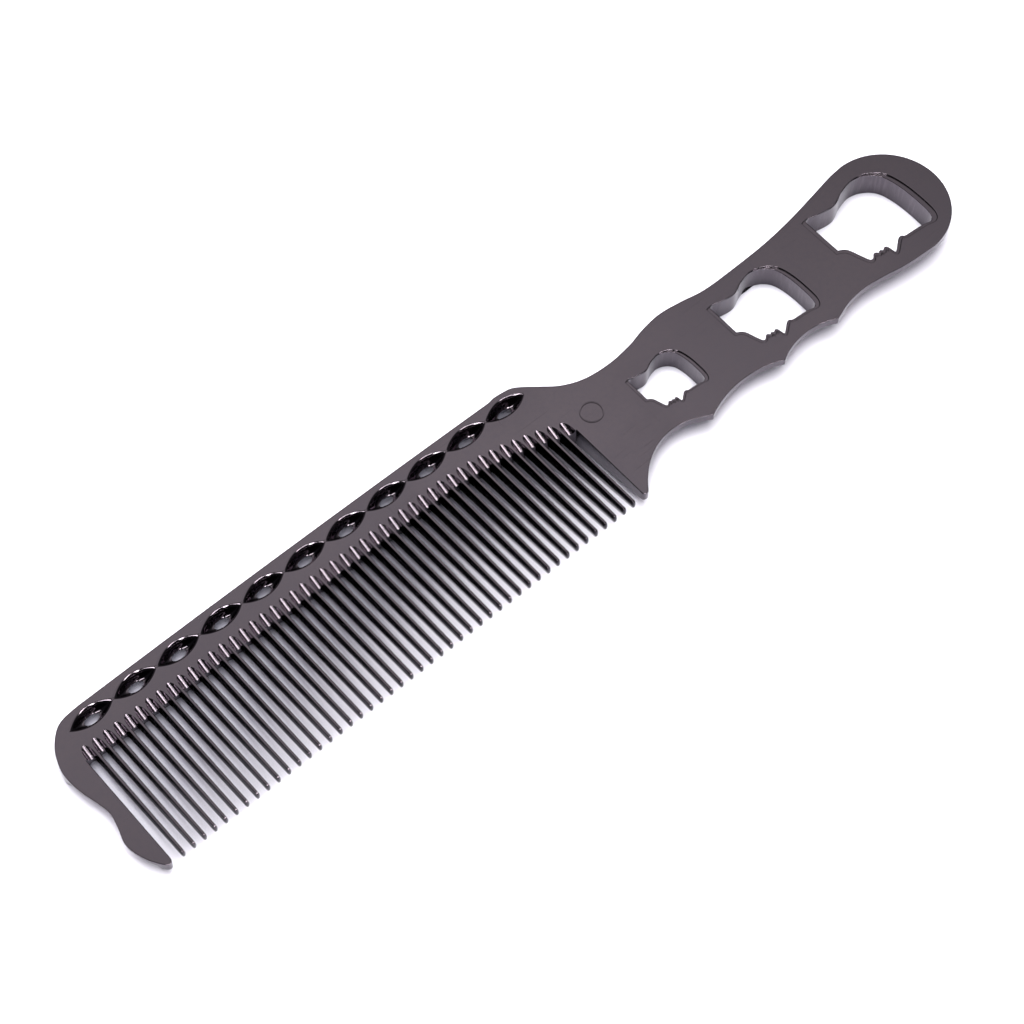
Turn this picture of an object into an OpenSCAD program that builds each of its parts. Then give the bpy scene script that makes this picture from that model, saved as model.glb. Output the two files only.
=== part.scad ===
/* [Teeth] */
// Number of slender teeth between the toe guard and the heel
tooth_count = 46; // [40:1:46]
// Distance from one tooth to the next
tooth_pitch = 2.64; // [2.5:0.01:2.8]
// Width of a tooth's flat ridge
ridge_w = 0.55; // [0.4:0.05:0.8]
// Width of a tooth at the middle of its thickness, at the root
tooth_root_w = 1.5; // [1.3:0.05:1.7]
// Width of a tooth at the middle of its thickness, near the tip
tooth_tip_w = 1.0; // [0.8:0.05:1.2]
// Thickness of the teeth at their tips
tip_t = 2.4; // [2:0.1:3]
// Length of the ramp that closes each slot
ramp_len = 2.9; // [2.5:0.1:3.5]
// Angle of that ramp to the face
ramp_angle = 25; // [20:1:30]

/* [Blade] */
// Height of the straight back edge above the tooth tips
blade_w = 39.3; // [38.8:0.1:39.8]
// Height of the slots' rounded ends above the tooth tips
root_y = 31.2; // [30.8:0.1:31.4]
// Thickness at the toe guard
toe_t = 4; // [3.6:0.1:4.4]
// Thickness gained for each millimetre towards the handle's end
taper = 0.0125; // [0.01:0.0005:0.014]

/* [Recesses] */
// Number of leaf-shaped recesses along the back edge
recess_count = 11; // [8:1:11]
// Distance from one recess to the next
recess_pitch = 10.97; // [10.6:0.01:11]
// Length of a recess at the surface
recess_len = 10; // [9:0.1:10.4]
// Width of a recess at the surface
recess_w = 3.8; // [3.4:0.1:4.2]
// Length of the small opening at the bottom of a recess
eye_len = 3.8; // [3:0.1:4.2]
// Width of the small opening at the bottom of a recess
eye_w = 2; // [1.6:0.1:2.2]

/* [Handle] */
// Radius of the handle's round end
end_r = 14.6; // [14:0.1:15]
// Height of the upright band under the front edge
edge_band = 2; // [1.6:0.1:2.4]
// Sideways run of the back bevel for each millimetre of its height
bevel_run = 0.78; // [0.6:0.02:0.8]
// Lengths of the three head-shaped openings, from the neck to the crown
head_len = [14.8, 20.5, 25.1];
// Width of the ledge around each opening
ledge_w = [0.8, 1, 1.2];
// Depth of that ledge below the front face
ledge_depth = 0.35; // [0.2:0.05:0.5]
// Height of the band on the toe guard's outer edge
guard_band = 1.2; // [1:0.1:2]

/* [Hidden] */
heel_x = tooth_pitch * (tooth_count + 1);
neck_x = heel_x + 10;
cut_1 = heel_x + 36;
cut_2 = heel_x + 68;
end_c = [heel_x + 91, 19.2];
end_x = end_c[0] + end_r;
toe_x = -5.3;
tip_y = -0.2;
recess_x = 6.6;
recess_y = 35.6;
curve_run = 32;
curve_x = heel_x - curve_run;
curve_k = 0.0068;
heel_root_y = root_y - curve_k * curve_run * curve_run - ramp_len;
station_step = 1.6;
bevel_lead = 2;
bevel_fade = 16;
big = 300;
tall = 20;
tiny = 0.01;
shell = "#4d474e";

function tooth_name(n) = str("tooth_", n < 10 ? "0" : "", n);
TEETH = [for (n = [1 : tooth_count]) tooth_name(n)];

// Thickness of the comb at a place along its length
function thick(x) = toe_t + taper * x;

// Height of the slots' rounded ends at a place along the comb
function apex_y(x) = root_y - curve_k * pow(max(0, x - curve_x), 2);

// Smooth curve through points of rising first value, read at v
function seg(p, v, i = 0) = (i >= len(p) - 2 || v <= p[i + 1][0]) ? i : seg(p, v, i + 1);
function slope(p, i) =
    let (a = p[max(0, i - 1)], b = p[min(len(p) - 1, i + 1)])
    (b[1] - a[1]) / (b[0] - a[0]);
function curve(p, v) =
    let (i = seg(p, v), a = p[i], b = p[i + 1], w = b[0] - a[0], u = (v - a[0]) / w)
    let (ma = slope(p, i) * w, mb = slope(p, i + 1) * w)
    a[1] * (1 + 2 * u) * (1 - u) * (1 - u) + ma * u * (1 - u) * (1 - u)
    + b[1] * u * u * (3 - 2 * u) - mb * u * u * (1 - u);

// Shallow finger hollow between two cusps, as a circular arc
function hollow(x0, x1, y0, rise, x) =
    let (half = (x1 - x0) / 2, r = (half * half + rise * rise) / (2 * rise))
    y0 + sqrt(r * r - pow(x - (x0 + x1) / 2, 2)) - r + rise;

// Upper edge from the back edge's shoulder to the round end
SHOULDER = [[-8.1, 39.05], [-6.1, 38.9], [-3.1, 38.2], [0.8, 35.2], [4.8, 32], [9.8, 29.9], [16.4, 29.2],
    [22.9, 29.8], [28.3, 31], [33.4, 31.5], [38.9, 30.8], [44.9, 29.7], [53.9, 29.6], [63.4, 29.9],
    [71.9, 30.8], [80.9, 32.3], [87, 33.4], [91, 33.8]];
back_start = 3;
back_step = 4;
fall_run = 8;
back_crest_x = 50;
back_bow = 0.00012;
function back_y(x) = blade_w - back_bow * pow(x - back_crest_x, 2);
function upper_y(x) = (x < heel_x + SHOULDER[0][0]) ? back_y(x) : curve(SHOULDER, x - heel_x);

// Lower edge from the heel's tip over the finger hollows to the round end
HEEL_TIP = [[0, 0.6], [0.5, 0], [1.1, 0]];
HEEL_EDGE = [[1.6, 0.4], [3.2, 2.3], [6.2, 5], [10.4, 7.2], [14.7, 8], [19.3, 7.3], [24.5, 4.8]];
TAIL_EDGE = [[61.8, 4.8], [66.4, 6.3], [71.4, 6.8], [76.9, 6.2], [83.4, 5.1], [91, 4.6]];
CUSPS = [24.5, 45.7, 61.8];
cusp_y = 4.8;
hollow_rise = [2.4, 2.1];
function lower_y(x) =
    let (d = x - heel_x)
    d < CUSPS[0] ? curve(HEEL_EDGE, d)
    : d < CUSPS[1] ? hollow(CUSPS[0], CUSPS[1], cusp_y, hollow_rise[0], d)
    : d < CUSPS[2] ? hollow(CUSPS[1], CUSPS[2], cusp_y, hollow_rise[1], d)
    : curve(TAIL_EDGE, d);

// Toe guard's outer edge, as [height above the tips, place along the comb]
TOE_EDGE = [[-0.2, -1.1], [0.5, -1.9], [3.2, -3.6], [6.3, -4.7], [9.2, -4.95], [12.5, -4], [16, -3.3],
    [19.5, -3.9], [23.5, -4.9], [27.5, -5.3], [30.5, -4.9], [34.2, -3.4], [37.2, -0.6]];
TOE_CORNER = [0.8, 38.3];
corner_y = 37;
guard_fade = 3;
guard_step = 0.9;
guard_tip = 0.4;

// Head in profile: [from the neck up, from the nose back], in head depths
HEAD = [[0, 0.42], [0.09, 0.36], [0.15, 0.2], [0.19, 0.11], [0.25, 0.1], [0.3, 0.14], [0.34, 0.1],
    [0.37, 0.125], [0.4, 0.095], [0.45, 0.12], [0.49, 0], [0.66, 0.11], [0.72, 0.085], [0.84, 0.075],
    [0.98, 0.06], [1.1, 0.04], [1.17, 0.12], [1.19, 0.32], [1.18, 0.6], [1.12, 0.82], [0.98, 0.95],
    [0.8, 1], [0.6, 0.96], [0.42, 0.89], [0.22, 0.91], [0.08, 0.95], [0, 0.94]];
head_long = 1.19;
path_steps = 4;
// Shares of the ledge's width: even all round, pushed to the nose's side, and added at the neck and the crown
ledge_even = 0.38;
ledge_shift = 0.3;
ledge_ends = 0.6;
HEAD_X = [15.9, 41.9, 73.5];
HEAD_Y = [17.8, 17.9, 19];

// Rounded path through the head's points, open at the neck's base
function mix4(a, b, c, d, u) =
    0.5 * (2 * b + (c - a) * u + (2 * a - 5 * b + 4 * c - d) * u * u + (3 * b - a - 3 * c + d) * u * u * u);
function rounded(p, steps) =
    [for (i = [0 : len(p) - 2]) for (k = [0 : steps - 1])
        mix4(p[max(0, i - 1)], p[i], p[i + 1], p[min(len(p) - 1, i + 2)], k / steps), p[len(p) - 1]];

// Solid through a row of sections that have the same number of points, its sides split where they twist
module skin(sections, split = false) {
    n = len(sections[0]);
    m = len(sections);
    quads = [for (i = [0 : m - 2]) for (k = [0 : n - 1])
        [i * n + k, i * n + (k + 1) % n, (i + 1) * n + (k + 1) % n, (i + 1) * n + k]];
    sides = split ? [for (q = quads) each [[q[0], q[1], q[2]], [q[0], q[2], q[3]]]] : quads;
    first = [for (k = [n - 1 : -1 : 0]) k];
    last = [for (k = [0 : n - 1]) (m - 1) * n + k];
    polyhedron([for (s = sections) for (p = s) p], concat([first, last], sides), convexity = 6);
}

// Everything is drawn from the tooth tips' line, then moved to the origin under its middle
module place() {
    translate([-(toe_x + end_x) / 2, -(tip_y + blade_w) / 2, 0]) children();
}

// Space above the sloping front face
module above_front() {
    rotate([0, -atan(taper), 0]) translate([-big / 2, -big / 2, toe_t * cos(atan(taper))]) cube([2 * big, big, big]);
}

// Space behind a back face that rises from y0 down to the tooth tips
module behind_back(x, y0) {
    rise = atan((thick(x) - tip_t) / y0);
    translate([x - big / 2, y0, 0]) rotate([-rise, 0, 0]) translate([0, -big, -big]) cube([big, big, big]);
}

// Slice of the handle at x between two edges, with a bevel on the edges that are free
function slice(x, y0, y1, b0, b1) =
    let (t = thick(x), z = t - edge_band)
    [[x, y0, z], [x, y0, t], [x, y1, t], [x, y1, z], [x, y1 - b1, 0], [x, y0 + b0, 0]];
function bevel(x) =
    bevel_run * (thick(x) - edge_band) * min(1, max(0, (x - heel_x + bevel_lead) / bevel_fade));
function stations(x0, x1) =
    let (n = ceil((x1 - x0) / station_step))
    [for (i = [0 : n]) x0 + (x1 - x0) * i / n];

module grip_bar(x0, x1) {
    inner = [for (c = CUSPS) if (heel_x + c > x0 + tiny && heel_x + c < x1 - tiny) heel_x + c];
    ends = concat([x0], inner, [x1]);
    xs = [for (i = [0 : len(ends) - 2])
        each [for (s = stations(ends[i], ends[i + 1])) if (i == 0 || s > ends[i]) s]];
    skin([for (x = xs) slice(x, lower_y(x), upper_y(x), bevel(x), bevel(x))]);
}

// Head-shaped opening with a shallow ledge round it on the front
module head_opening(k) {
    s = head_len[k] / head_long;
    path = [for (p = rounded(HEAD, path_steps)) [p[0] * s, (p[1] - 0.5) * s]];
    x = heel_x + HEAD_X[k];
    middle = head_len[k] / 2;
    squeeze = 1 - ledge_ends * ledge_w[k] / middle;
    translate([x + middle, HEAD_Y[k] + ledge_shift * ledge_w[k], -1]) linear_extrude(tall)
        scale([squeeze, 1]) translate([-middle, 0]) offset(delta = -ledge_even * ledge_w[k]) polygon(path);
    translate([x, HEAD_Y[k], 0]) {
        difference() {
            linear_extrude(tall) polygon(path);
            translate([-x, 0, 0]) rotate([0, -atan(taper), 0])
                translate([0, -big / 2, toe_t - ledge_depth - big]) cube([big, big, big]);
        }
    }
}

// Leaf-shaped scoop with a valley along its length, as two balls that cross
function valley_r(depth) = (recess_len * recess_len / 4 + depth * depth) / (2 * depth);
module scoop(depth) {
    r = valley_r(depth);
    lift = r - depth;
    half = sqrt(r * r - lift * lift);
    a = (half * half - recess_w * recess_w / 4) / recess_w;
    ball = sqrt(a * a + r * r);
    translate([0, 0, lift]) intersection() {
        translate([0, a, 0]) sphere(ball, $fn = 96);
        translate([0, -a, 0]) sphere(ball, $fn = 96);
    }
}

// Small leaf-shaped opening through the bottom of a recess
module eye() {
    a = (eye_len * eye_len - eye_w * eye_w) / (4 * eye_w);
    r = a + eye_w / 2;
    translate([0, 0, -1]) intersection() {
        translate([0, a, 0]) cylinder(h = tall, r = r, $fn = 64);
        translate([0, -a, 0]) cylinder(h = tall, r = r, $fn = 64);
    }
}

scoop_share = 0.44;
module recess(x) {
    t = thick(x);
    scoop_depth = t * scoop_share;
    translate([x, recess_y, 0]) {
        translate([0, 0, t]) scoop(scoop_depth);
        mirror([0, 0, 1]) scoop(scoop_depth);
        eye();
    }
}

// Inclined round grooves, front and back, that close the slot at x
module ramp_cut(x) {
    r = (tooth_pitch - ridge_w) / 2;
    for (side = [0, 1]) {
        translate([x, apex_y(x) - r / sin(ramp_angle), side * thick(x)]) mirror([0, 0, 1 - side])
            rotate([ramp_angle - 90, 0, 0]) cylinder(h = tall, r = r, center = true, $fn = 48);
    }
}

// Where a tooth meets the back bar
function tooth_end(n) = apex_y(n * tooth_pitch) - ramp_len;

module spine_bar() {
    corner = [for (y = [tooth_end(1) : corner_y]) [curve(TOE_EDGE, y), y]];
    back = [for (x = [back_start : back_step : heel_x - fall_run - 1]) [x, upper_y(x)]];
    fall = [for (x = [heel_x - fall_run : heel_x - 1]) [x, upper_y(x)]];
    steps = [for (n = [tooth_count : -1 : 1])
        each [[(n + 0.5) * tooth_pitch, tooth_end(n)], [(n - 0.5) * tooth_pitch, tooth_end(n)]]];
    outline = concat(corner, [TOE_CORNER], back, fall, [[heel_x, upper_y(heel_x)], [heel_x, heel_root_y]],
        [[steps[0][0], heel_root_y]], steps, [[0, tooth_end(1)]]);
    color(shell) place() difference() {
        linear_extrude(tall) polygon(outline);
        above_front();
        for (k = [0 : recess_count - 1]) recess(recess_x + k * recess_pitch);
        for (n = [1 : tooth_count + 1]) ramp_cut((n - 0.5) * tooth_pitch);
    }
}

// Layer of the toe guard at height z, its outer edge moved in by b away from both ends
function guard_layer(z, b, y1) =
    let (ys = concat([for (y = [tip_y : guard_step : y1 - guard_step / 2]) y], [y1]))
    let (share = [for (y = ys) min(1, max(0, y - 1) / guard_fade, (y1 - y) / guard_fade)])
    concat([for (i = [0 : len(ys) - 1]) [curve(TOE_EDGE, ys[i]) + b * share[i], ys[i], z]],
        [[0, y1, z], [0, guard_tip, z], [-guard_tip, tip_y, z]]);
module toe_guard() {
    y1 = tooth_end(1);
    band_z = toe_t - guard_band;
    color(shell) place() difference() {
        mirror([0, 0, 1]) skin([guard_layer(0, bevel_run * band_z, y1), guard_layer(-band_z, 0, y1),
            guard_layer(-toe_t - 1, 0, y1)], true);
        above_front();
        behind_back(0, y1);
    }
}

module heel() {
    edge = [for (x = stations(heel_x + HEEL_EDGE[0][0], neck_x)) [x, lower_y(x)]];
    start = [for (p = HEEL_TIP) [heel_x + p[0], p[1]]];
    color(shell) place() difference() {
        linear_extrude(tall) polygon(concat(start, edge, [[neck_x, heel_root_y], [heel_x, heel_root_y]]));
        above_front();
        behind_back(heel_x, heel_root_y);
    }
}

function neck_slice(x) =
    let (t = thick(x), y1 = upper_y(x))
    [[x, heel_root_y, t], [x, y1, t], [x, y1, t - edge_band], [x, y1 - bevel(x), 0], [x, heel_root_y, 0]];
module neck() {
    color(shell) place() skin([for (x = stations(heel_x, neck_x)) neck_slice(x)]);
}

module grip_small() {
    color(shell) place() difference() {
        grip_bar(neck_x, cut_1);
        head_opening(0);
    }
}

module grip_medium() {
    color(shell) place() difference() {
        grip_bar(cut_1, cut_2);
        head_opening(1);
    }
}

// Round end of the handle as layers of half a disc: back face, band and front edge
function end_layer(r, z) =
    [for (a = [90 : -6 : -90]) let (x = end_c[0] + r * cos(a)) [x, end_c[1] + r * sin(a), z < 0 ? thick(x) : z]];
module round_end() {
    band_z = thick(end_c[0]) - edge_band;
    skin([end_layer(end_r - bevel_run * band_z, 0), end_layer(end_r, band_z), end_layer(end_r, -1)]);
}

module grip_large() {
    color(shell) place() difference() {
        union() {
            grip_bar(cut_2, end_c[0]);
            round_end();
        }
        head_opening(2);
    }
}

// Slender tooth: six-sided section that narrows and thins to a rounded tip
function tooth_slice(x, y, mid_w, top_w, t) =
    let (zt = thick(x), zm = zt - t / 2, zb = zt - t, a = top_w / 2, m = mid_w / 2)
    [[x - a, y, zt], [x + a, y, zt], [x + m, y, zm], [x + a, y, zb], [x - a, y, zb], [x - m, y, zm]];

tip_round = 0.5;
tip_narrow = 0.6;
tip_thin = 0.94;
module tooth(n) {
    x = n * tooth_pitch;
    y1 = tooth_end(n);
    t1 = thick(x);
    color(shell) place() skin([
        tooth_slice(x, y1, tooth_root_w, ridge_w, t1),
        tooth_slice(x, y1 / 2, (tooth_root_w + tooth_tip_w) / 2, ridge_w, (t1 + tip_t) / 2),
        tooth_slice(x, tip_round, tooth_tip_w, ridge_w, tip_t),
        tooth_slice(x, 0, tooth_tip_w * tip_narrow, ridge_w * tip_narrow, tip_t * tip_thin)]);
}

spine_bar();
toe_guard();
heel();
neck();
grip_small();
grip_medium();
grip_large();
for (n = [1 : tooth_count]) tooth(n);
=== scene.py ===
import math

import bmesh
import bpy
import numpy as np
from mathutils import Matrix, Vector, geometry


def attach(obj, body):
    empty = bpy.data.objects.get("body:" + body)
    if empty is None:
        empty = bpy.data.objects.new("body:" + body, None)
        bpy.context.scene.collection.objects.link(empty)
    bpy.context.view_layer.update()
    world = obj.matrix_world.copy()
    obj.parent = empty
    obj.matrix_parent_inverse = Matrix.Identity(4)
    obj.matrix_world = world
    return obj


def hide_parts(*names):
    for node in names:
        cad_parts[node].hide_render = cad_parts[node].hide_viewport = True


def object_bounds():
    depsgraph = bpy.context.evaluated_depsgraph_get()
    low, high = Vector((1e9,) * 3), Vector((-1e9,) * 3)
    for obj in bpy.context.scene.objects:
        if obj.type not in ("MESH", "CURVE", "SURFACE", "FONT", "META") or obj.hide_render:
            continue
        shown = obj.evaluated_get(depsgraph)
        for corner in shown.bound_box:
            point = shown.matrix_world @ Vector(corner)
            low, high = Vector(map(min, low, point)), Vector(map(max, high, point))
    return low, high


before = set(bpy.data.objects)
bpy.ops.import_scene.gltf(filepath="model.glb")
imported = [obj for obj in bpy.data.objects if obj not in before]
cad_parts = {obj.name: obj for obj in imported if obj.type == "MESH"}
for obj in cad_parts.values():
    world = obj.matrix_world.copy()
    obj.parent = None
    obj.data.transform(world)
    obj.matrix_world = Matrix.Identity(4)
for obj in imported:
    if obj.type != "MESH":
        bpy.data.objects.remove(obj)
cadLow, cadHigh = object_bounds()
print("frame loaded:", len(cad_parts), "nodes")

# Lengths are in millimetres: x runs along the comb from the toe guard's inner edge,
# y runs up from the tooth tips, z is 0 on the back face.
comb = {
    "toothCount": 46,
    "pitch": 2.64,
    "frontAtToe": 4.0,      # thickness beside the toe guard
    "taper": 0.0125,        # thickness gained per millimetre towards the handle's end
    "toeX": -5.3,           # leftmost point of the toe guard
    "tipY": -0.2,           # lowest point of the outline
    "tipThick": 2.4,        # thickness of a tooth at its tip
    "rampLen": 2.9,         # length of the sloping end of a slot
    "rootY": 31.2,
    "rootFall": 0.0068,     # how fast the slots shorten towards the heel
    "rootFallRun": 32.0,
}
heelX = comb["pitch"] * (comb["toothCount"] + 1)
mm = 0.001


def place(x, y, z):
    return Vector((cadLow.x + (x - comb["toeX"]) * mm, cadLow.y + (y - comb["tipY"]) * mm, cadLow.z + z * mm))


def frontZ(x):
    return comb["frontAtToe"] + comb["taper"] * x


def apexY(x):
    return comb["rootY"] - comb["rootFall"] * max(0.0, x - (heelX - comb["rootFallRun"])) ** 2


def rootEnd(x):
    return apexY(x) - comb["rampLen"]


def hermite(points, v):
    # height at v of a smooth curve through points that run from left to right
    k = 0
    while k < len(points) - 2 and v > points[k + 1][0]:
        k += 1

    def slope(i):
        a, b = points[max(0, i - 1)], points[min(len(points) - 1, i + 1)]
        return (b[1] - a[1]) / (b[0] - a[0])

    a, b = points[k], points[k + 1]
    w = b[0] - a[0]
    u = (v - a[0]) / w
    return (a[1] * (1 + 2 * u) * (1 - u) ** 2 + slope(k) * w * u * (1 - u) ** 2
            + b[1] * u * u * (3 - 2 * u) - slope(k + 1) * w * u * u * (1 - u))


def spline(points, steps):
    # smooth path through points, with the same number of steps between each two
    out = []
    last = len(points) - 1
    for i in range(last):
        a, b, c, d = (np.array(points[min(last, max(0, i + j))], float) for j in (-1, 0, 1, 2))
        for k in range(steps):
            u = k / steps
            out.append(tuple(0.5 * (2 * b + (c - a) * u + (2 * a - 5 * b + 4 * c - d) * u ** 2
                                    + (3 * b - a - 3 * c + d) * u ** 3)))
    return out + [tuple(points[-1])]


def span(a, b, step):
    n = max(1, round(abs(b - a) / step))
    return [a + (b - a) * i / n for i in range(n + 1)]


rounding = {"arcShare": 0.45, "holdShare": 0.08, "mitreLimit": 0.6, "sharpDegrees": 34.0}


def roundedProfile(corners, radii, steps=4, hold=0.08):
    # straight runs whose inner corners turn through a short arc, with a holding point on both sides of it
    out = [np.array(corners[0], float)]
    for k in range(1, len(corners) - 1):
        c = np.array(corners[k], float)
        a, b = np.array(corners[k - 1], float) - c, np.array(corners[k + 1], float) - c
        la, lb = max(1e-9, np.linalg.norm(a)), max(1e-9, np.linalg.norm(b))
        r = min(radii[k - 1], rounding["arcShare"] * la, rounding["arcShare"] * lb)
        s = min(hold, rounding["holdShare"] * la, rounding["holdShare"] * lb)
        a, b = a / la, b / lb
        out.append(c + a * (r + s))
        for i in range(steps + 1):
            t = i / steps
            out.append(c + a * r * (1 - t) ** 2 + b * r * t ** 2)
        out.append(c + b * (r + s))
    return out + [np.array(corners[-1], float)]


def outward(path, closed, clockwise):
    # mitred normal of every point of a flat path, on its outer side
    p = np.array(path, float)
    if closed:
        before, after = np.roll(p, 1, 0), np.roll(p, -1, 0)
    else:
        before = np.vstack([p[:1] * 2 - p[1:2], p[:-1]])
        after = np.vstack([p[1:], p[-1:] * 2 - p[-2:-1]])
    d1, d2 = p - before, after - p
    d1 /= np.linalg.norm(d1, axis=1)[:, None]
    d2 /= np.linalg.norm(d2, axis=1)[:, None]
    turn = -1 if clockwise else 1
    n1 = np.stack([d1[:, 1], -d1[:, 0]], 1) * turn
    n2 = np.stack([d2[:, 1], -d2[:, 0]], 1) * turn
    n = n1 + n2
    n /= np.linalg.norm(n, axis=1)[:, None]
    return n / np.maximum(rounding["mitreLimit"], (n * n1).sum(1))[:, None]


def nearest(points, loop):
    # distance from each point to the closest edge of a closed path
    a, b = np.array(loop), np.roll(np.array(loop), -1, 0)
    out = []
    for q in np.array(points):
        t = np.clip(((q - a) * (b - a)).sum(1) / np.maximum(1e-9, ((b - a) ** 2).sum(1)), 0, 1)
        out.append(float(np.linalg.norm(a + (b - a) * t[:, None] - q, axis=1).min()))
    return out


def evenLoop(points, step):
    p = np.array(points + [points[0]], float)
    run = np.concatenate([[0], np.cumsum(np.linalg.norm(np.diff(p, axis=0), axis=1))])
    at = np.linspace(0, run[-1], max(12, round(run[-1] / step)), endpoint=False)
    return [(float(np.interp(s, run, p[:, 0])), float(np.interp(s, run, p[:, 1]))) for s in at]


# one mesh under construction: points in the same place are shared, so neighbouring surfaces join up
class Shell:
    def __init__(self):
        self.bm = bmesh.new()
        self.spots = {}

    def vert(self, x, y, z):
        key = (round(x, 5), round(y, 5), round(z, 5))
        if key not in self.spots:
            self.spots[key] = self.bm.verts.new(place(x, y, max(z, 0.0)))
        return self.spots[key]

    def row(self, points):
        return [self.vert(*p) for p in points]

    def face(self, verts):
        kept = [v for i, v in enumerate(verts) if v is not verts[i - 1]]
        if len(set(kept)) == len(kept) and len(kept) > 2 and self.bm.faces.get(kept) is None:
            self.bm.faces.new(kept)

    def strip(self, a, b, closed=False):
        n = len(a)
        for i in range(n if closed else n - 1):
            j = (i + 1) % n
            self.face([a[i], a[j], b[j], b[i]])

    def strips(self, rows, closed=False):
        for a, b in zip(rows, rows[1:]):
            self.strip(a, b, closed)

    def sheet(self, outer, holes, zAt, inside=()):
        # fills a flat region between loops of vertices
        loops = [outer] + list(holes)
        verts = [v for loop in loops for v in loop]
        flat = [Vector((v.co.x / mm, v.co.y / mm)) for v in verts]
        edges, base = [], 0
        for loop in loops:
            edges += [(base + i, base + (i + 1) % len(loop)) for i in range(len(loop))]
            base += len(loop)
        for x, y in inside:
            spot = place(x, y, 0)
            flat.append(Vector((spot.x / mm, spot.y / mm)))
            verts.append(self.vert(x, y, zAt(x, y)))
        co, _, tris, was, _, _ = geometry.delaunay_2d_cdt(flat, edges, [], 0, 1e-6)
        centre = np.array([[sum(co[i][k] for i in t) / 3 for k in (0, 1)] for t in tris])

        # a triangle is kept where a line from it to the left crosses the loops an odd number of times
        odd = np.zeros(len(tris), bool)
        for loop in loops:
            p = np.array([(v.co.x / mm, v.co.y / mm) for v in loop])
            q = np.roll(p, -1, 0)
            for (x0, y0), (x1, y1) in zip(p, q):
                if y0 != y1:
                    hit = (min(y0, y1) <= centre[:, 1]) & (centre[:, 1] < max(y0, y1))
                    odd ^= hit & (centre[:, 0] < x0 + (centre[:, 1] - y0) * (x1 - x0) / (y1 - y0))

        def corner(i):
            # a point of the loops, or a new one where two edges cross
            if was[i]:
                return verts[was[i][0]]
            x = co[i][0] - cadLow.x / mm + comb["toeX"]
            y = co[i][1] - cadLow.y / mm + comb["tipY"]
            return self.vert(x, y, zAt(x, y))

        for t, keep in zip(tris, odd):
            if keep:
                self.face([corner(i) for i in t])

    def finish(self, name, material, nodes):
        bmesh.ops.recalc_face_normals(self.bm, faces=self.bm.faces)
        mesh = bpy.data.meshes.new(name)
        self.bm.to_mesh(mesh)
        self.bm.free()
        mesh.shade_smooth()
        mesh.set_sharp_from_angle(angle=math.radians(rounding["sharpDegrees"]))
        piece = bpy.data.objects.new(name, mesh)
        bpy.context.scene.collection.objects.link(piece)
        mesh.materials.append(material)
        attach(piece, "root")
        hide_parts(*nodes)
        return piece


# a socket that takes part in sums, each sum adds a Math node
class Wire:
    def __init__(self, shop, socket):
        self.shop = shop
        self.socket = socket

    def maths(self, operation, a, b):
        return self.shop.node("ShaderNodeMath", {"operation": operation}, {0: a, 1: b})["Value"]

    def __add__(self, other):
        return self.maths("ADD", self, other)

    def __sub__(self, other):
        return self.maths("SUBTRACT", self, other)

    def __rsub__(self, other):
        return self.maths("SUBTRACT", other, self)

    def __mul__(self, other):
        return self.maths("MULTIPLY", self, other)

    __radd__ = __add__
    __rmul__ = __mul__


class Shop:
    def __init__(self, tree):
        self.tree = tree
        tree.nodes.clear()

    def node(self, kind, settings=None, inputs=None):
        made = self.tree.nodes.new(kind)
        for key, value in (settings or {}).items():
            if key == "stops":
                ramp = made.color_ramp
                while len(ramp.elements) < len(value):
                    ramp.elements.new(0.5)
                for element, (spot, colour) in zip(ramp.elements, value):
                    element.position = spot
                    element.color = colour
            else:
                setattr(made, key, value)
        for key, value in (inputs or {}).items():
            if isinstance(key, int):
                socket = made.inputs[key]
            else:
                socket = next(s for s in made.inputs if s.name == key and s.enabled)
            if isinstance(value, Wire):
                self.tree.links.new(value.socket, socket)
            else:
                socket.default_value = value
        return {s.name: Wire(self, s) for s in made.outputs if s.enabled}

    def mix(self, factor, a, b):
        return self.node("ShaderNodeMix", {"data_type": "RGBA"}, {"Factor": factor, "A": a, "B": b})["Result"]

    def stretch(self, vector, scale):
        return self.node("ShaderNodeVectorMath", {"operation": "MULTIPLY"}, {0: vector, 1: scale})["Vector"]

    def noise(self, vector, scale, detail=2.0, rough=0.5):
        return self.node("ShaderNodeTexNoise", None, {
            "Vector": vector, "Scale": scale, "Detail": detail, "Roughness": rough})["Fac"]

    def between(self, value, low, high):
        return self.node("ShaderNodeMapRange", {"interpolation_type": "SMOOTHSTEP"}, {
            "Value": value, "From Min": low, "From Max": high})["Result"]


plating = {
    "tint": (0.322, 0.275, 0.315, 1),
    "tintWarm": (0.345, 0.292, 0.330, 1),
    "tintCool": (0.295, 0.262, 0.315, 1),
    # near-black colour painted on upright walls: painted shade
    "paintedWallShade": (0.028, 0.026, 0.031, 1),
    "bodyWallShade": 0.84,          # how far upright faces are painted towards the near-black wall colour, as painted shade
    "toothWallShade": 1.0,
    "drift": 28.0,              # noise scales, per metre
    "grain": 900.0,
    "marks": 1500.0,
    "haze": 55.0,
    "wipe": 700.0,
    "hairAlong": 2600.0,
    "hairAcross": 1900.0,
    "peel": 260.0,
    "grainShare": 0.35,
    "marksShare": 0.06,
    "roughness": 0.075,
    "smudge": 0.07,             # roughness added by each kind of wear
    "wipeRough": 0.025,
    "hairRough": 0.12,
    "wallRough": 0.12,
    "peelHeight": 2.2e-6,       # in metres
    "scratchHeight": 0.8e-6,
    "ripple": 0.22,             # finer waves as a share of the peel
    "markDepth": 1.5,
}


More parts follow.
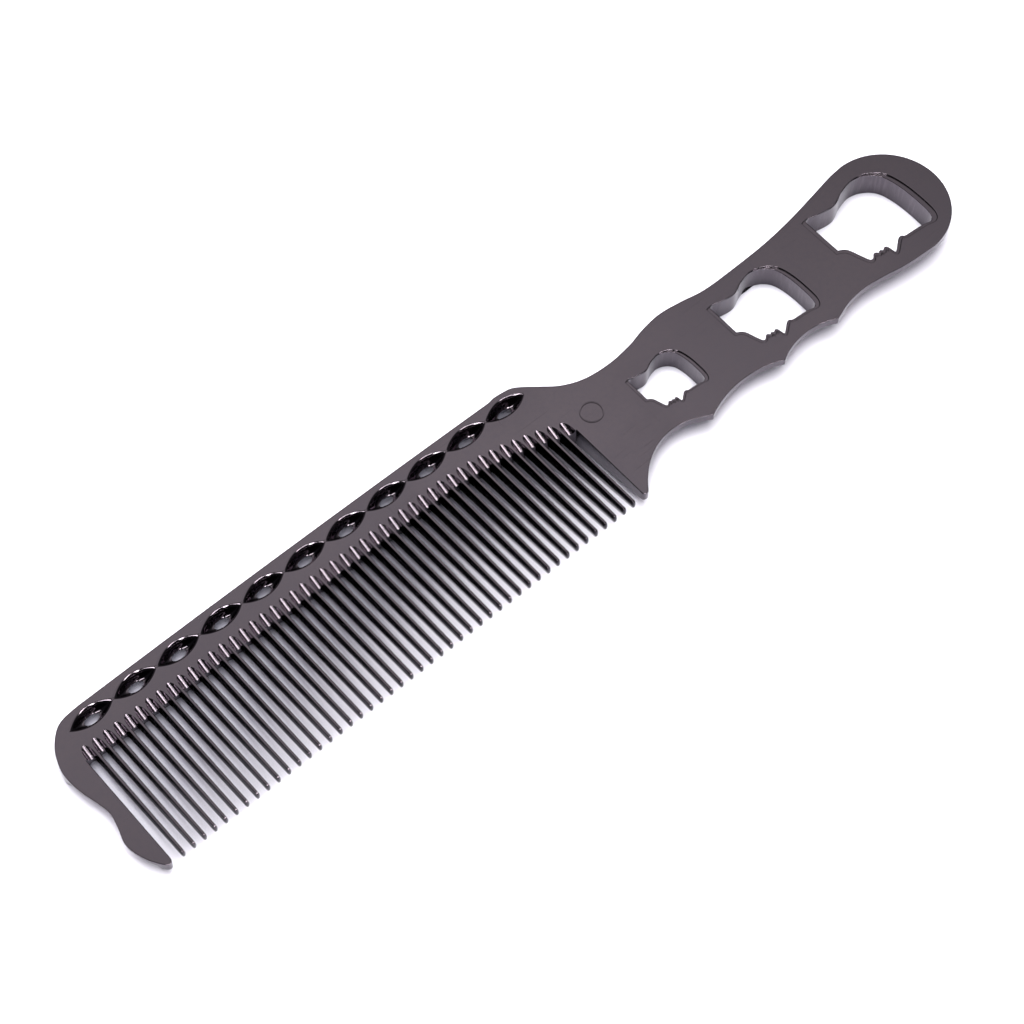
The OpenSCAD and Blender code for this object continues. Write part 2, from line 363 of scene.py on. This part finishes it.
def gunmetal(name, smudge, peel, wallShade):
    material = bpy.data.materials.new(name)
    material.use_nodes = True
    shop = Shop(material.node_tree)
    spot = shop.node("ShaderNodeTexCoord")["Object"]
    normal = shop.node("ShaderNodeNewGeometry")["Normal"]
    upright = 1 - shop.node("ShaderNodeMath", {"operation": "ABSOLUTE"}, {
        0: shop.node("ShaderNodeSeparateXYZ", None, {"Vector": normal})["Z"]})["Value"]
    walls = shop.between(upright, 0.3, 0.8)

    # colour of the plating drifts a little along the piece; upright walls carry drawn marks and are painted
    # near black, which is painted shade
    drift = shop.noise(spot, plating["drift"], 3.0)
    grain = shop.noise(spot, plating["grain"], 4.0, 0.65)
    marks = shop.noise(shop.stretch(spot, (1.0, 1.0, 0.12)), plating["marks"], 3.0, 0.6)
    colour = shop.mix(shop.between(drift, 0.35, 0.68), plating["tintWarm"], plating["tint"])
    colour = shop.mix(shop.between(grain, 0.35, 0.75) * plating["grainShare"], colour, plating["tintCool"])
    # painted shade: upright faces go towards the near-black wall colour, a little less where drawn marks run
    wallShadeShare = wallShade - shop.between(marks, 0.45, 0.7) * plating["marksShare"]
    colour = shop.mix(walls * wallShadeShare, colour, plating["paintedWallShade"])

    # fingertip haze, wipe marks and a few hairline scratches in the gloss
    haze = shop.between(shop.noise(spot, plating["haze"], 4.0, 0.6), 0.48, 0.75)
    wipe = shop.between(
        shop.noise(shop.stretch(spot, (0.25, 1.0, 1.0)), plating["wipe"], 3.0, 0.6), 0.52, 0.78)
    along = shop.between(shop.noise(shop.stretch(spot, (0.03, 1.0, 1.0)), plating["hairAlong"]), 0.66, 0.74)
    across = shop.between(shop.noise(shop.stretch(spot, (1.0, 0.05, 1.0)), plating["hairAcross"]), 0.70, 0.77)
    hairs = (along + across) * (1 - walls)
    roughness = (plating["roughness"] + haze * smudge + wipe * plating["wipeRough"]
                 + hairs * plating["hairRough"] + walls * marks * plating["wallRough"])

    # slight orange peel of the moulding under the plating
    wave = shop.noise(spot, plating["peel"], 2.0, 0.4)
    ripple = shop.noise(spot, plating["peel"] * 4)
    bump = shop.node("ShaderNodeBump", None, {
        "Strength": 1.0, "Distance": plating["peelHeight"] * peel,
        "Height": wave + ripple * plating["ripple"]})["Normal"]
    bump = shop.node("ShaderNodeBump", None, {
        "Strength": 1.0, "Distance": plating["scratchHeight"],
        "Height": marks * walls * plating["markDepth"] - hairs, "Normal": bump})["Normal"]
    surface = shop.node("ShaderNodeBsdfPrincipled", None, {
        "Base Color": colour, "Metallic": 1.0, "Roughness": roughness, "Normal": bump})["BSDF"]
    shop.node("ShaderNodeOutputMaterial", None, {"Surface": surface})
    return material


bodyPlating = gunmetal("gunmetalPlating", plating["smudge"], 1.0, plating["bodyWallShade"])
toothPlating = gunmetal("gunmetalTeeth", plating["smudge"] * 0.4, 0.5, plating["toothWallShade"])
print("materials made")

# x of the shoulder, heel, cusps and tail counts from the heel's edge, and x of the guard from the first slot
blade = {
    "backY": 39.3,
    "backCrest": 50.0,
    "backBow": 0.00012,
    "shoulder": [(-8.1, 39.05), (-6.1, 38.9), (-3.1, 38.2), (0.8, 35.2), (4.8, 32), (9.8, 29.9),
                 (16.4, 29.2), (22.9, 29.8), (28.3, 31), (33.4, 31.5), (38.9, 30.8), (44.9, 29.7),
                 (53.9, 29.6), (63.4, 29.9), (71.9, 30.8), (80.9, 32.3), (87, 33.4), (91, 33.8)],
    "guardEdge": [(-1.1, -0.2), (-1.9, 0.5), (-3.6, 3.2), (-4.7, 6.3), (-4.95, 9.2), (-4.0, 12.5),
                  (-3.3, 16.0), (-3.9, 19.5), (-4.9, 23.5), (-5.3, 27.5), (-4.9, 30.5), (-3.4, 34.2),
                  (-0.9, 37.2), (1.5, 38.55), (5.0, 39.02), (9.0, 39.09)],
    "guardTip": [(0.0, 1.0), (-0.05, 0.55), (-0.2, 0.15), (-0.45, -0.1), (-0.75, -0.19)],
    "heelTip": [(1.6, 0.4), (1.35, 0.15), (1.0, 0.02), (0.65, 0.0), (0.3, 0.1), (0.08, 0.35), (0.0, 0.7)],
    "heelEdge": [(1.6, 0.4), (3.2, 2.3), (6.2, 5), (10.4, 7.2), (14.7, 8), (19.3, 7.3), (24.5, 4.8)],
    "cusps": (24.5, 45.7, 61.8),
    "cuspY": 4.8,
    "hollowRise": (2.4, 2.1),
    "tailEdge": [(61.8, 4.8), (66.4, 6.3), (71.4, 6.8), (76.9, 6.2), (83.4, 5.1), (91, 4.6)],
    "endX": 91.0,
    "endY": 19.2,
    "endRadius": 14.6,
    "frontRound": 0.28,
    "bandRound": 0.35,
    "backRound": 0.15,
    "frontHold": 0.12,      # flat strips kept beside the two rounds
    "backHold": 0.04,
    "band": 2.0,            # upright band below the front edge
    "bevelRun": 0.78,       # sideways run of the back bevel per millimetre of height
    "bevelStart": 4.0,
    "bevelFade": 16.0,
    "guardBand": 1.2,
    "guardLead": 1.0,
    "guardFade": 3.0,
    "tiltToe": 6.0,         # the back rises towards the tips as far as this from the toe
    "tiltRun": 11.0,        # and this far from the heel's edge
    "tiltPower": 1.2,
    "step": 0.8,            # spacing of the outline's points
    "straightStep": 3.0,
    "endStep": 4,           # degrees
}


def backEdgeY(x):
    return blade["backY"] - blade["backBow"] * (x - blade["backCrest"]) ** 2


def hollowY(x0, x1, rise, x):
    half = (x1 - x0) / 2
    r = (half * half + rise * rise) / (2 * rise)
    return blade["cuspY"] + math.sqrt(r * r - (x - (x0 + x1) / 2) ** 2) - r + rise


def lowerY(d):
    c = blade["cusps"]
    if d < c[0]:
        return hermite(blade["heelEdge"], d)
    if d < c[1]:
        return hollowY(c[0], c[1], blade["hollowRise"][0], d)
    if d < c[2]:
        return hollowY(c[1], c[2], blade["hollowRise"][1], d)
    return hermite(blade["tailEdge"], d)


def guardBevel(x, y):
    if x > -1.0 or y > rootEnd(0):
        return 0.0
    room = min(max(0.0, y - blade["guardLead"]), rootEnd(0) - y)
    return blade["bevelRun"] * (comb["frontAtToe"] - blade["guardBand"]) * min(1.0, room / blade["guardFade"])


def bevelAt(x, y):
    if x < 0:
        return guardBevel(x, y)
    fade = min(1.0, max(0.0, (x - heelX - blade["bevelStart"]) / (blade["bevelFade"] - blade["bevelStart"])))
    return blade["bevelRun"] * (frontZ(x) - blade["band"]) * fade * fade * (3 - 2 * fade)


def tiltedBack(x, y):
    # toe guard and heel thin towards their tips, from behind
    if x < blade["tiltToe"]:
        top, fade = rootEnd(0), 1.0
    else:
        top, fade = rootEnd(heelX), 1 - min(1.0, max(0.0, (x - heelX) / blade["tiltRun"]))
    fall = max(0.0, 1 - y / top)
    return (frontZ(x) - comb["tipThick"]) * fall ** blade["tiltPower"] * fade * fade * (3 - 2 * fade)


def combOutline():
    # clockwise from the first slot's end, down the guard, along the back, round the handle and up the heel
    step = blade["step"]
    path = [(0.0, y) for y in span(rootEnd(0), 1.6, 2.2)] + blade["guardTip"]
    path += spline(blade["guardEdge"], 6)
    path += [(x, backEdgeY(x)) for x in span(12.0, heelX - 9.5, blade["straightStep"])]
    path += [(heelX + d, hermite(blade["shoulder"], d)) for d in span(-8.1, blade["endX"], step)]
    cx, cy, r = heelX + blade["endX"], blade["endY"], blade["endRadius"]
    turn = [math.radians(a) for a in range(86, -89, -blade["endStep"])]
    path += [(cx + r * math.cos(a), cy + r * math.sin(a)) for a in turn]
    stops = [blade["endX"], *reversed(blade["cusps"]), blade["heelTip"][0][0]]
    for a, b in zip(stops, stops[1:]):
        path += [(heelX + d, lowerY(d)) for d in span(a, b, step)[:-1]]
    path += [(heelX + d, y) for d, y in blade["heelTip"]]
    path += [(heelX, y) for y in span(1.4, rootEnd(heelX), 1.8)]
    return path


def sweepEdge(shell, path):
    # the rounded rim of the whole comb, from the front face over the edge to the back face
    normals = outward(path, False, True)
    rows = []
    for (x, y), n in zip(path, normals):
        top, bottom = frontZ(x), tiltedBack(x, y)
        band, bevel = (top - bottom) / 2, bevelAt(x, y)
        if bevel > 0:
            band = min(band, blade["guardBand"]) if x < 0 else blade["band"]
            bevel *= min(1.0, (top - bottom) / comb["frontAtToe"])
        profile = roundedProfile(
            [(-blade["frontRound"] - blade["frontHold"], top), (0, top), (0, top - band), (-bevel, bottom),
             (-bevel - blade["backRound"] - blade["backHold"], bottom)],
            [blade["frontRound"], blade["bandRound"], blade["backRound"]])
        row = []
        for e, z in profile:
            px, py = x + n[0] * e, y + n[1] * e
            share = (z - bottom) / (top - bottom)
            row.append((px, py, z + share * (frontZ(px) - top) + (1 - share) * (tiltedBack(px, py) - bottom)))
        rows.append(shell.row(row))
    shell.strips(rows)
    return rows


slots = {
    "ridge": 0.55,          # flat on top of a tooth
    "rootWidth": 1.5,
    "tipWidth": 1.0,
    "edgeRound": 0.09,
    "midRound": 0.14,
    "waist": 0.16,          # half height of the blunt middle of a tooth
    "rampAngle": 25.0,      # slope of the round groove that closes a slot
    "rows": 14,
    "rowPower": 1.8,        # rows crowd towards the slot's end
    "lead": (-0.3, -0.1),   # two flat rows beyond the slot's end
    "groovePoints": 12,
    "lipGain": 1.5,
}


def slotSection(v, x):
    # half of the groove between two teeth, from its centre to the middle of the ridge, v below the slot's end
    half = comb["pitch"] / 2
    radius = half - slots["ridge"] / 2
    slope = math.radians(slots["rampAngle"])
    lift = radius / math.sin(slope) - v             # how far the groove's axis still is from the face
    stop = math.acos(min(1.0, max(0.0, lift * math.sin(slope) / radius)))
    points = []
    for i in range(slots["groovePoints"] + 1):
        a = stop * i / slots["groovePoints"]
        points.append((radius * math.sin(a), radius / math.cos(slope) * math.cos(a) - lift * math.tan(slope)))
    points.append((points[-1][0] + 0.001, 0.0))
    # the edge of the ridge is rounded over
    lip = slots["edgeRound"] * min(1.0, slots["lipGain"] * v)
    a, b, c = np.array(points[-2 if lift < 0 else -3]), np.array(points[-1]), np.array((half, 0.0))
    da, db = ((q - b) / np.linalg.norm(q - b) * min(lip, rounding["arcShare"] * np.linalg.norm(q - b))
              for q in (a, c))
    turned = [b + da * (1 - t) ** 2 + db * t * t for t in (0, 0.25, 0.5, 0.75, 1)]
    return points[:-2] + [tuple(q) for q in turned] + [tuple(b + db * 1.3), (half, 0.0)]


def rootStrip(shell, front):
    # the grooved band where all slots run out, on the front or on the back
    falls = [comb["rampLen"] * (k / slots["rows"]) ** slots["rowPower"] for k in range(1, slots["rows"] + 1)]
    rows = []
    half = comb["pitch"] / 2
    for v in [*slots["lead"], *falls]:
        row = []
        for m in range(1, comb["toothCount"] + 2):
            centre = (m - 0.5) * comb["pitch"]
            section = slotSection(max(v, falls[0]), centre)
            if v < 0:
                section = [(half * i / (len(section) - 1), 0.0) for i in range(len(section))]
            full = [(-u, d) for u, d in reversed(section)] + [(u, d) for u, d in section[1:]]
            for u, d in full[1:] if m > 1 else full:
                x = centre + u
                row.append((x, apexY(x) - v, frontZ(x) - d if front else d))
        rows.append(shell.row(row))
    shell.strips(rows)
    return rows


leaf = {
    "count": 11,
    "pitch": 10.97,
    "firstX": 6.6,
    "y": 35.6,
    "length": 10.0,
    "width": 3.4,
    "eyeLength": 3.7,
    "eyeWidth": 2.0,
    "web": 0.22,            # half of the thin wall left round the small opening
    "fullness": 1.7,
    "points": 72,
    "rows": 9,
    "rim": 0.46,            # width of the rounded shoulder
    "hold": 0.12,
    "throat": (0.97, 0.96), # the eye narrows by this much inside the web
}


def leafRecess(shell, cx):
    cy, half, wide = leaf["y"], leaf["length"] / 2, leaf["width"] / 2
    off = (half * half - wide * wide) / (2 * wide)      # the two arcs' centres lie this far from the middle
    depth = frontZ(cx) / 2 - leaf["web"]

    def sink(q):
        return depth * (1 - (1 - q) ** leaf["fullness"])

    angles = [2 * math.pi * i / leaf["points"] for i in range(leaf["points"])]
    big = off + wide
    rim, eye = [], []
    for a in angles:
        x = half * math.cos(a)
        y = math.copysign(math.sqrt(max(0.0, big * big - x * x)) - off, math.sin(a))
        rim.append((x, y if abs(math.sin(a)) > 1e-9 else 0))
        eye.append((leaf["eyeLength"] / 2 * math.cos(a), leaf["eyeWidth"] / 2 * math.sin(a)))
    normals = outward(rim, True, False)
    loops = {}
    rows = []
    for front in (True, False):
        # flat strip round the leaf, then the shoulder, then the hollow down to the eye
        side = []
        for e in (leaf["rim"] + leaf["hold"], leaf["rim"]):
            side.append([(x + n[0] * e, y + n[1] * e, 0.0) for (x, y), n in zip(rim, normals)])
        inner = []
        for (rx, ry), (ex, ey) in zip(rim, eye):
            q = leaf["rim"] / math.hypot(ex - rx, ey - ry)
            inner.append((rx + (ex - rx) * q, ry + (ey - ry) * q, q))
        for t in (0.25, 0.5, 0.75):
            side.append([])
            for (ox, oy, _), (rx, ry), (ix, iy, _), (ex, ey) in zip(side[1], rim, inner, eye):
                w = ((1 - t) ** 2, 2 * t * (1 - t), t * t)
                side[-1].append((w[0] * ox + w[1] * rx + w[2] * ix, w[0] * oy + w[1] * ry + w[2] * iy,
                                 w[2] * sink(math.dist((rx, ry), (ix, iy)) / math.dist((rx, ry), (ex, ey)))))
        for k in range(leaf["rows"] + 1):
            ring = []
            for (rx, ry), (ex, ey), (_, _, q0) in zip(rim, eye, inner):
                stop = 1 - leaf["hold"] / math.hypot(ex - rx, ey - ry)
                q = q0 + (stop - q0) * k / leaf["rows"]
                x, y = rx + (ex - rx) * q, ry + (ey - ry) * q
                ring.append((x, y, sink(q)))
            side.append(ring)
        side.append([(x, y, depth + 0.01) for x, y in eye])
        side.append([(x * leaf["throat"][0], y * leaf["throat"][1], depth + 0.1) for x, y in eye])
        made = [shell.row([(cx + x, cy + y, frontZ(cx + x) - z if front else z) for x, y, z in ring])
                for ring in side]
        loops[front] = made[0]
        rows += made if front else list(reversed(made))
    shell.strips(rows, True)
    return loops[True], loops[False]


head = {
    # plain profile: up from the neck, back from the nose, in head depths
    "profile": [(0, 0.42), (0.09, 0.36), (0.15, 0.2), (0.19, 0.11), (0.25, 0.1), (0.3, 0.14),
                (0.34, 0.1), (0.37, 0.125), (0.4, 0.095), (0.45, 0.12), (0.49, 0), (0.66, 0.11),
                (0.72, 0.085), (0.84, 0.075), (0.98, 0.06), (1.1, 0.04), (1.17, 0.12), (1.19, 0.32),
                (1.18, 0.6), (1.12, 0.82), (0.98, 0.95), (0.8, 1), (0.6, 0.96), (0.42, 0.89),
                (0.22, 0.91), (0.08, 0.95), (0, 0.94)],
    "long": 1.19,
    "lengths": (14.8, 20.5, 25.1),
    "ledges": (0.8, 1.0, 1.2),
    "x": (15.9, 41.9, 73.5),
    "y": (17.8, 17.9, 19.0),
    "ledgeDepth": 0.35,
    "ledgeEven": 0.38,      # shares of the ledge: even all round, pushed to the nose's side, added at both ends
    "ledgeShift": 0.3,
    "ledgeEnds": 0.6,
    "rim": 0.3,             # rounds of the rim, of the ledge's lip and of the back edge
    "lip": 0.24,
    "ledgeRound": 0.08,
    "backRim": 0.08,
    "hold": 0.04,
    "step": 0.3,
    "fineStep": 0.12,
}


def insetLoop(points, distance):
    # path at a fixed distance inside a closed one, with the folds that this makes cut away
    dense = evenLoop(points, head["fineStep"])
    moved = np.array(dense) - outward(dense, True, False) * distance
    return [tuple(m) for m, free in zip(moved, nearest(moved, dense)) if free > distance - 0.03]


def counterClockwise(points):
    area = sum(a[0] * b[1] - b[0] * a[1] for a, b in zip(points, points[1:] + points[:1]))
    return points if area > 0 else points[::-1]


def sweepHole(shell, loop, profileAt, room=None):
    # carries a profile round a hole, its offsets grow towards the hole's middle
    normals = outward(loop, True, False)
    columns = []
    for (x, y), n, free in zip(loop, normals, room or [0.0] * len(loop)):
        top = frontZ(x)
        column = []
        for e, z in profileAt(top, free):
            px, py = x - n[0] * e, y - n[1] * e
            column.append((px, py, z + z / top * (frontZ(px) - top)))
        columns.append(shell.row(column))
    rows = [[c[k] for c in columns] for k in range(len(columns[0]))]
    shell.strips(rows, True)
    return rows


def headOpening(shell, k):
    scale = head["lengths"][k] / head["long"]
    cx, cy, ledge = heelX + head["x"][k], head["y"][k], head["ledges"][k]
    outline = [(cx + u * scale, cy + (v - 0.5) * scale) for u, v in spline(head["profile"], 8)]
    outline = counterClockwise(outline)
    outer = [p for i, p in enumerate(outline) if math.dist(p, outline[i - 1]) > 0.05]
    drop, wallLip = head["ledgeDepth"], head["lip"] + 0.1
    middle = cx + head["lengths"][k] / 2
    squeeze = 1 - head["ledgeEnds"] * ledge * 2 / head["lengths"][k]
    inner = [(middle + (x - middle) * squeeze, y + head["ledgeShift"] * ledge)
             for x, y in evenLoop(insetLoop(outline, ledge * head["ledgeEven"]), head["step"])]

    def rimProfile(top, free):
        return roundedProfile(
            [(-head["rim"] * 2, top), (0, top), (0, top - drop), (min(0.2, 0.3 * free), top - drop)],
            [head["rim"], head["ledgeRound"]], 4, 0.05)

    def wallProfile(top, free):
        return roundedProfile(
            [(-min(wallLip, 0.35 * free), top - drop), (0, top - drop), (0, 0),
             (-head["backRim"] - head["hold"], 0)],
            [head["lip"], head["backRim"]])

    rimRows = sweepHole(shell, outer, rimProfile, nearest(outer, inner))
    wallRows = sweepHole(shell, inner, wallProfile, nearest(inner, outer))
    shell.sheet(rimRows[-1], [wallRows[0]], lambda x, y: frontZ(x) - drop)
    return rimRows[0], wallRows[-1]


# faint ring left by the mould's gate
gate = {"x": 129.5, "y": 22.5, "radius": 2.6, "width": 0.2, "depth": 0.05, "hold": 0.1, "points": 64}


def gateMark(shell):
    x, y, radius, width, depth, hold = (gate[k] for k in ("x", "y", "radius", "width", "depth", "hold"))
    angles = [2 * math.pi * i / gate["points"] for i in range(gate["points"])]
    loop = [(x + radius * math.cos(a), y + radius * math.sin(a)) for a in angles]
    rows = sweepHole(shell, loop, lambda top, free: [
        (-2 * hold, top), (-hold, top), (0, top - depth * 0.5), (width / 2, top - depth),
        (width, top - depth * 0.5), (width + hold, top), (width + 2 * hold, top)])
    shell.sheet(rows[-1], [], lambda x, y: frontZ(x))
    return rows[0]


# the body: rim, slot ends, leaves, openings and gate mark first, then the two flat faces that join them
body = Shell()
outlinePath = combOutline()
edgeRows = sweepEdge(body, outlinePath)
frontStrip = rootStrip(body, True)
backStrip = rootStrip(body, False)
body.strip(frontStrip[-1], backStrip[-1])

# close the small gap between the rounded inner edges and the slots' ends
for row, corner in ((edgeRows[0], 0), (edgeRows[-1], -1)):
    front, back = frontStrip[-1][corner], backStrip[-1][corner]
    half = len(row) // 2
    for a, b in zip(row[:half], row[1:half + 1]):
        body.face([front, a, b])
    for a, b in zip(row[half:], row[half + 1:]):
        body.face([back, a, b])
    body.face([front, row[half], back])

frontHoles, backHoles = [], []
for i in range(leaf["count"]):
    a, b = leafRecess(body, leaf["firstX"] + i * leaf["pitch"])
    frontHoles.append(a)
    backHoles.append(b)
for k in range(3):
    a, b = headOpening(body, k)
    frontHoles.append(a)
    backHoles.append(b)
frontHoles.append(gateMark(body))


def regionLoop(first, strip):
    right = [row[-1] for row in reversed(strip)]
    left = [row[0] for row in strip]
    return first + right[:-1] + list(reversed(strip[0])) + left[1:]


def scatter(x0, x1, y0, y1, step):
    return [(x, y) for x in span(x0, x1, step) for y in span(y0, y1, step)]


def clearOf(points, path, gap):
    p = np.array(path)
    return [q for q in points if np.linalg.norm(p - np.array(q), axis=1).min() > gap]


body.sheet(regionLoop([r[0] for r in edgeRows], frontStrip), frontHoles, lambda x, y: frontZ(x))

# the back bends at the guard and the heel, so its sheet gets a grid of points there
grid = {"step": 0.9, "edgeGap": 1.2, "guardLeft": -4.8, "guardRight": -1.0, "heelRun": 13.0}
fine = outlinePath + [(x, y) for x in (0, heelX) for y in span(0, rootEnd(x), 0.5)]
guardXs, guardYs = zip(*blade["guardEdge"])
guardGrid = scatter(grid["guardLeft"], grid["guardRight"], 0.6, rootEnd(0) + 1, grid["step"])
guardGrid = [(x, y) for x, y in guardGrid if x > np.interp(y, guardYs, guardXs) + grid["edgeGap"]]
heelGrid = scatter(heelX + 1, heelX + grid["heelRun"], 1.0, rootEnd(heelX) + 1, grid["step"])
heelGrid = [(x, y) for x, y in heelGrid if y > lowerY(x - heelX) + grid["edgeGap"]]
body.sheet(regionLoop([r[-1] for r in edgeRows], backStrip), backHoles, tiltedBack,
           clearOf(guardGrid + heelGrid, fine, grid["step"]))
combBody = body.finish("combBody", bodyPlating,
                       ["spine_bar", "toe_guard", "heel", "neck", "grip_small", "grip_medium", "grip_large"])
print("body made:", len(combBody.data.polygons), "faces")

tooth = {
    "tipRows": [0.0, 0.012, 0.05, 0.12, 0.22, 0.36, 0.55],
    "cap": 0.55,            # length of the rounded tip
    "firstRow": 1.0,        # first full row beyond the cap
    "spans": 14,
    "tipWide": 0.12,        # shares of the section left at the very tip
    "tipDeep": 0.45,
    "tipDrop": 0.1,
}


def toothSection(x, y, root):
    share = y / root
    thick = comb["tipThick"] + (frontZ(x) - comb["tipThick"]) * share
    mid = (slots["tipWidth"] + (slots["rootWidth"] - slots["tipWidth"]) * share) / 2
    top = slots["ridge"] / 2
    waist = slots["waist"]
    half = roundedProfile(
        [(0, 0), (top, 0), (mid, thick / 2 - waist), (mid, thick / 2 + waist), (top, thick), (0, thick)],
        [slots["edgeRound"], slots["midRound"], slots["midRound"], slots["edgeRound"]], 4, 0.05)
    return half + [(-u, d) for u, d in reversed(half[1:-1])], thick


def makeTooth(n):
    shell = Shell()
    cx = n * comb["pitch"]
    root = rootEnd(cx)
    rows = []
    for y in tooth["tipRows"] + span(tooth["cap"] + tooth["firstRow"], root, (root - 1.5) / tooth["spans"]):
        section, thick = toothSection(cx, y, root)
        closing = 1.0
        if y < tooth["cap"]:
            closing = math.sqrt(1 - (1 - y / tooth["cap"]) ** 2)
        ring = []
        for u, d in section:
            x = cx + u * (tooth["tipWide"] + (1 - tooth["tipWide"]) * closing)
            depth = thick / 2 + (d - thick / 2) * (tooth["tipDeep"] + (1 - tooth["tipDeep"]) * closing)
            depth -= (1 - closing) * tooth["tipDrop"]
            ring.append((x, y * rootEnd(x) / root, frontZ(x) - depth))
        rows.append(shell.row(ring))
    shell.strips(rows, True)
    shell.face(rows[0])
    shell.face(list(reversed(rows[-1])))
    name = "tooth_%02d" % n
    return shell.finish("comb_" + name, toothPlating, [name])


for n in range(1, comb["toothCount"] + 1):
    makeTooth(n)
print("teeth made:", comb["toothCount"])

studio = {
    "floorSide": 8.0,
    "floorTint": (0.82, 0.80, 0.87, 1),
    "floorPale": (0.86, 0.86, 0.88, 1),
    "gapShade": (0.34, 0.33, 0.40, 1),       # painted shade on the floor between the teeth
    "gapShadeReach": 0.005,
    "behind": (0.67, 0.74, 0.0),            # from the eye across the comb
    "dark": (0.012, 0.012, 0.014, 1),
    # room tone from straight down to straight up
    "sky": [(0.0, (0.01, 0.01, 0.012, 1)), (0.06, (0.03, 0.03, 0.033, 1)),
            (0.45, (0.02, 0.02, 0.022, 1)), (0.7, (0.07, 0.069, 0.072, 1)),
            (0.785, (0.235, 0.232, 0.236, 1)), (0.865, (0.425, 0.42, 0.425, 1)),
            (0.92, (0.34, 0.336, 0.341, 1)), (1.0, (0.3, 0.297, 0.3, 1))],
    # azimuth, elevation, distance, width, height, power, seen in the plating
    "panels": {
        "tableLight": (150, 62, 1.5, 1.6, 1.6, 36.0, False),
        "fillLight": (-40, 75, 1.5, 1.8, 1.8, 42.0, False),
        "mainBoxRight": (24, 66, 1.2, 0.10, 0.75, 2.4, True),
        "mainBoxLeft": (-18, 66, 1.2, 0.10, 0.75, 2.4, True),
        "sideBox": (-62, 64, 1.2, 0.2, 0.6, 1.8, True),
    },
}


def floorColourAndShade():
    material = bpy.data.materials.new("paleTable")
    material.use_nodes = True
    shop = Shop(material.node_tree)
    spot = shop.node("ShaderNodeTexCoord")["Object"]
    speck = shop.noise(spot, 60.0, 4.0)
    colour = shop.mix(speck * 0.06, studio["floorTint"], studio["floorPale"])
    # painted shade: the floor is painted darker and lilac where the comb closes it in, most between the teeth
    opening = shop.node("ShaderNodeAmbientOcclusion", {"samples": 8}, {"Distance": studio["gapShadeReach"]})["AO"]
    colour = shop.mix(shop.between(opening, 0.1, 0.62), studio["gapShade"], colour)
    surface = shop.node("ShaderNodeBsdfPrincipled", None, {
        "Base Color": colour, "Roughness": 0.55 + speck * 0.1, "Specular IOR Level": 0.2})["BSDF"]
    shop.node("ShaderNodeOutputMaterial", None, {"Surface": surface})
    return material


def makeFloor():
    mesh = bpy.data.meshes.new("table")
    side = studio["floorSide"]
    corners = [(-side, -side, 0), (side, -side, 0), (side, side, 0), (-side, side, 0)]
    mesh.from_pydata(corners, [], [(0, 1, 2, 3)])
    floor = bpy.data.objects.new("table", mesh)
    bpy.context.scene.collection.objects.link(floor)
    floor.location.z = cadLow.z - 0.00005
    mesh.materials.append(floorColourAndShade())


def direction(azimuth, elevation):
    a, e = math.radians(azimuth), math.radians(elevation)
    return Vector((math.sin(a) * math.cos(e), -math.cos(a) * math.cos(e), math.sin(e)))


def makePanel(name, azimuth, elevation, distance, width, height, power, glossy):
    # a panel lights the table, or is seen in the plating, never both
    back = direction(azimuth, elevation)
    light = bpy.data.lights.new(name, "AREA")
    light.shape = "RECTANGLE"
    light.size = width
    light.size_y = height
    light.energy = power
    lamp = bpy.data.objects.new(name, light)
    bpy.context.scene.collection.objects.link(lamp)
    lamp.location = back * distance
    lamp.rotation_mode = "QUATERNION"
    lamp.rotation_quaternion = back.to_track_quat("Z", "Y")
    lamp.visible_glossy = glossy
    lamp.visible_diffuse = not glossy
    lamp.visible_camera = False


def makeWorld():
    # pale behind and above the comb, dark on the side of the person who looks at it
    world = bpy.data.worlds.new("studio")
    bpy.context.scene.world = world
    world.use_nodes = True
    shop = Shop(world.node_tree)
    way = shop.node("ShaderNodeTexCoord")["Generated"]
    height = shop.node("ShaderNodeSeparateXYZ", None, {"Vector": way})["Z"]
    behind = shop.node("ShaderNodeVectorMath", {"operation": "DOT_PRODUCT"}, {
        0: way, 1: studio["behind"]})["Value"]
    tone = shop.node("ShaderNodeValToRGB", {"stops": studio["sky"]}, {"Fac": height})["Color"]
    tone = shop.mix(shop.between(behind, -0.05, 0.3), studio["dark"], tone)
    surface = shop.node("ShaderNodeBackground", None, {"Color": tone, "Strength": 1.0})["Background"]
    shop.node("ShaderNodeOutputWorld", None, {"Surface": surface})


makeFloor()
makeWorld()
for name, values in studio["panels"].items():
    makePanel(name, *values)
print("studio lit:", len(studio["panels"]), "panels")

view = {
    "target": (-11.636, -4.38, 5.4),        # from the frame's own origin
    "azimuth": -41.643,
    "elevation": 59.849,
    "roll": -0.566,
    "distance": 547.32,
    "lens": 92.30,
    "sensor": 36.0,
}


def makeCamera():
    data = bpy.data.cameras.new("camera")
    data.lens = view["lens"]
    data.sensor_width = view["sensor"]
    data.clip_start = 0.01
    data.clip_end = 50
    cam = bpy.data.objects.new("camera", data)
    bpy.context.scene.collection.objects.link(cam)
    back = direction(view["azimuth"], view["elevation"])
    cam.location = Vector(view["target"]) * mm + back * view["distance"] * mm
    roll = Matrix.Rotation(math.radians(-view["roll"]), 3, "Z")
    turn = (-back).to_track_quat("-Z", "Y").to_matrix() @ roll
    cam.rotation_mode = "QUATERNION"
    cam.rotation_quaternion = turn.to_quaternion()
    bpy.context.scene.camera = cam


makeCamera()
bpy.context.scene.view_settings.view_transform = "Standard"
print("camera set")
